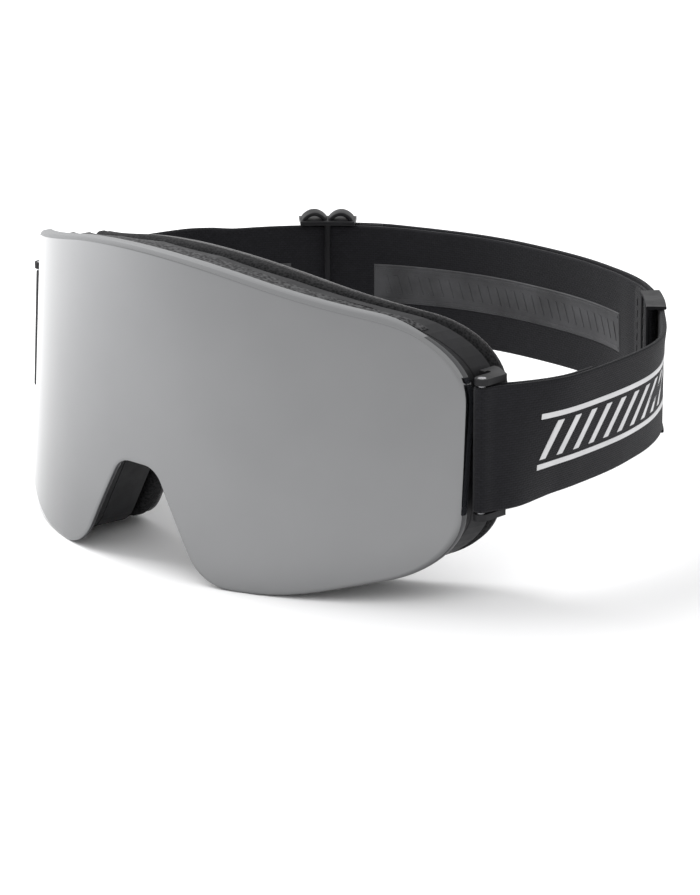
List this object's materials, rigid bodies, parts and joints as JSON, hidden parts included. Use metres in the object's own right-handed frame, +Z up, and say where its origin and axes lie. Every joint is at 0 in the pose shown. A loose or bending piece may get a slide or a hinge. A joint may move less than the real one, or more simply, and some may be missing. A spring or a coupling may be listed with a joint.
{
  "type": "ski goggles",
  "caption": "Frameless ski goggles: silver mirrored cylindrical dual lens on magnets, vented black frame, triple face foam and a black strap with two sliders.",
  "frame": {"origin": "centre of the whole object's footprint, on the floor it stands on", "axes": "+Z up; the lens faces -Y; +X is right as seen from the front; the strap runs back along +Y"},
  "size_m": [0.2034, 0.1818, 0.0983],
  "materials": {
    "mirror_lens": "silver mirror coating on polycarbonate",
    "clear_lens": "clear anti-fog inner lens",
    "frame_plastic": "matte black flexible polyurethane",
    "slider_plastic": "satin black nylon",
    "vent_foam": "open-cell vent foam",
    "foam": "matte open-cell foam",
    "fleece": "brushed fleece",
    "webbing": "woven elastic",
    "silicone": "printed silicone",
    "magnet_steel": "nickel-plated",
    "pin_steel": "brushed"
  },
  "bodies": {
    "frame": {"frame_shell": "frame_plastic", "frame_magnets": "magnet_steel", "top_vent_foam": "vent_foam", "bottom_vent_foam_left": "vent_foam", "bottom_vent_foam_right": "vent_foam", "foam_base": "foam", "foam_mid": "foam", "foam_fleece": "fleece", "pivot_pin_left": "pin_steel", "pivot_pin_right": "pin_steel"},
    "lens_unit": {"outer_lens": "mirror_lens", "lens_gasket": "foam", "inner_lens": "clear_lens", "lens_carrier": "frame_plastic", "lens_magnets": "magnet_steel"},
    "strap": {"outrigger_left": "frame_plastic", "outrigger_right": "frame_plastic", "strap_bar_left": "pin_steel", "strap_bar_right": "pin_steel", "left_strap": "webbing", "right_strap": "webbing", "grip_stripe_rear": "silicone", "grip_stripe_side": "silicone"},
    "left_slider": {"left_slider": "slider_plastic", "right_strap_tab": "webbing", "left_bartack": "webbing"},
    "right_slider": {"right_slider": "slider_plastic", "left_strap_tab": "webbing", "right_bartack": "webbing"}
  },
  "joints": [
    {"name": "lens_release", "type": "slide", "parent": "frame", "child": "lens_unit", "axis": [0, -0.9982, 0.0593], "range_m": [0, 0.03]},
    {"name": "strap_tilt", "type": "hinge", "parent": "frame", "child": "strap", "pos_m": [0, -0.033, 0.0463], "axis": [1, 0, 0], "range_deg": [-10, 10]},
    {"name": "left_slider_travel", "type": "hinge", "parent": "strap", "child": "left_slider", "pos_m": [0, -0.0108, 0.0463], "axis": [0, 0, 1], "range_deg": [0, 10]},
    {"name": "right_slider_travel", "type": "hinge", "parent": "strap", "child": "right_slider", "pos_m": [0, -0.0108, 0.0463], "axis": [0, 0, -1], "range_deg": [0, 10]}
  ]
}
